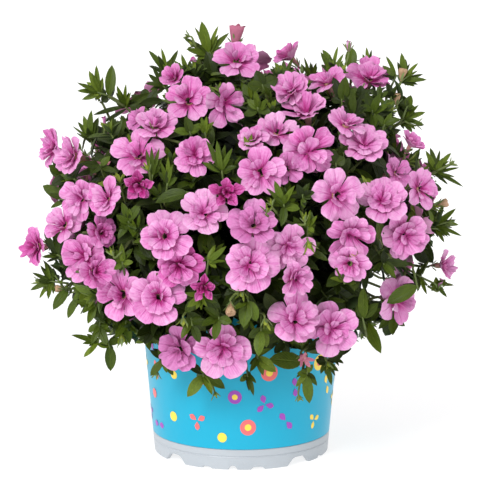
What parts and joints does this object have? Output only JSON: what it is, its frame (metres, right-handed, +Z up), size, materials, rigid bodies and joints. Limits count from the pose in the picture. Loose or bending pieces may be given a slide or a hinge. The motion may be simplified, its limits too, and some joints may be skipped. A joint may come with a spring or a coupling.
{
  "type": "potted calibrachoa plant",
  "caption": "Double-flowered calibrachoa grown as a dense dome of pink blooms and small leaves in a round footed nursery pot with a printed sleeve",
  "frame": {"origin": "centre of the circle that the pot's feet stand on, at ground level", "axes": "+Z up through the pot's axis, -Y towards the front of the plant, +X to its right as seen from the front"},
  "size_m": [0.2751, 0.2674, 0.2723],
  "materials": {
    "pot_plastic": "satin",
    "printed_sleeve": "satin",
    "potting_soil": "matte",
    "stem_green": "matte",
    "leaf_green": "satin",
    "petal_pink": "satin"
  },
  "bodies": {
    "root": {"grower_pot": "pot_plastic", "pot_sleeve": "printed_sleeve", "potting_soil": "potting_soil", "branching_stems": "stem_green", "leafy_shoot_01": "leaf_green", "leafy_shoot_02": "leaf_green", "leafy_shoot_03": "leaf_green", "leafy_shoot_04": "leaf_green", "leafy_shoot_05": "leaf_green", "leafy_shoot_06": "leaf_green", "leafy_shoot_07": "leaf_green", "leafy_shoot_08": "leaf_green", "leafy_shoot_09": "leaf_green", "leafy_shoot_10": "leaf_green", "leafy_shoot_11": "leaf_green", "leafy_shoot_12": "leaf_green", "leafy_shoot_13": "leaf_green", "leafy_shoot_14": "leaf_green", "leafy_shoot_15": "leaf_green", "leafy_shoot_16": "leaf_green", "bloom_01": "petal_pink", "bloom_02": "petal_pink", "bloom_03": "petal_pink", "bloom_04": "petal_pink", "bloom_05": "petal_pink", "bloom_06": "petal_pink", "bloom_07": "petal_pink", "bloom_08": "petal_pink", "bloom_09": "petal_pink", "bloom_10": "petal_pink", "bloom_11": "petal_pink", "bloom_12": "petal_pink", "bloom_13": "petal_pink", "bloom_14": "petal_pink", "bloom_15": "petal_pink", "bloom_16": "petal_pink", "bloom_17": "petal_pink", "bloom_18": "petal_pink", "bloom_19": "petal_pink", "bloom_20": "petal_pink", "bloom_21": "petal_pink", "bloom_22": "petal_pink", "bloom_23": "petal_pink", "bloom_24": "petal_pink", "bloom_25": "petal_pink", "bloom_26": "petal_pink", "bloom_27": "petal_pink", "bloom_28": "petal_pink", "bloom_29": "petal_pink", "bloom_30": "petal_pink", "bloom_31": "petal_pink", "bloom_32": "petal_pink", "bloom_33": "petal_pink", "bloom_34": "petal_pink", "bloom_35": "petal_pink", "bloom_36": "petal_pink", "bloom_37": "petal_pink", "bloom_38": "petal_pink", "bloom_39": "petal_pink", "bloom_40": "petal_pink"}
  },
  "joints": []
}
